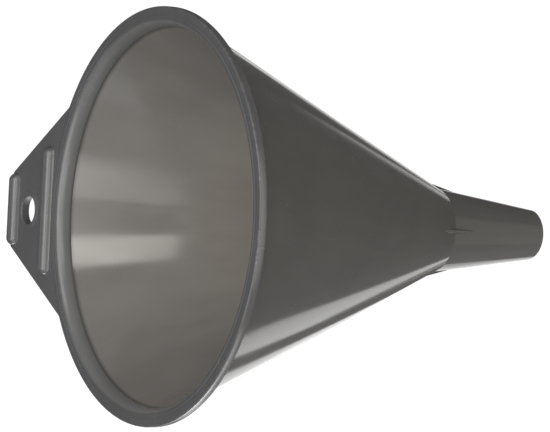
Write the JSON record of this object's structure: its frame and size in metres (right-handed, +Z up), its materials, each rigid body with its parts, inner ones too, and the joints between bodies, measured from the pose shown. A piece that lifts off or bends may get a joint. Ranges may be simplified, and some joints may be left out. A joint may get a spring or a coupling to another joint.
{
  "type": "funnel",
  "caption": "Moulded plastic hand funnel: flanged round mouth, smooth cone, tapered spout with vent ribs, and a flat hanging tab with a hole.",
  "frame": {"origin": "centre of the spout's outlet", "axes": "+Z up the funnel's axis to the mouth, +Y towards the hanging tab, +X across the tab"},
  "size_m": [0.152, 0.1843, 0.1753],
  "materials": {
    "grey_polyethylene": "satin moulded polyethylene, mid to dark grey, smooth inside and out"
  },
  "bodies": {
    "root": {"mouth_rim": "grey_polyethylene", "cone_body": "grey_polyethylene", "spout_tube": "grey_polyethylene", "hang_tab": "grey_polyethylene", "hang_hole_collar": "grey_polyethylene", "tab_rib_inner": "grey_polyethylene", "tab_rib_outer": "grey_polyethylene", "vent_rib_right": "grey_polyethylene", "vent_rib_back": "grey_polyethylene", "vent_rib_left": "grey_polyethylene", "vent_rib_front": "grey_polyethylene"}
  },
  "joints": []
}
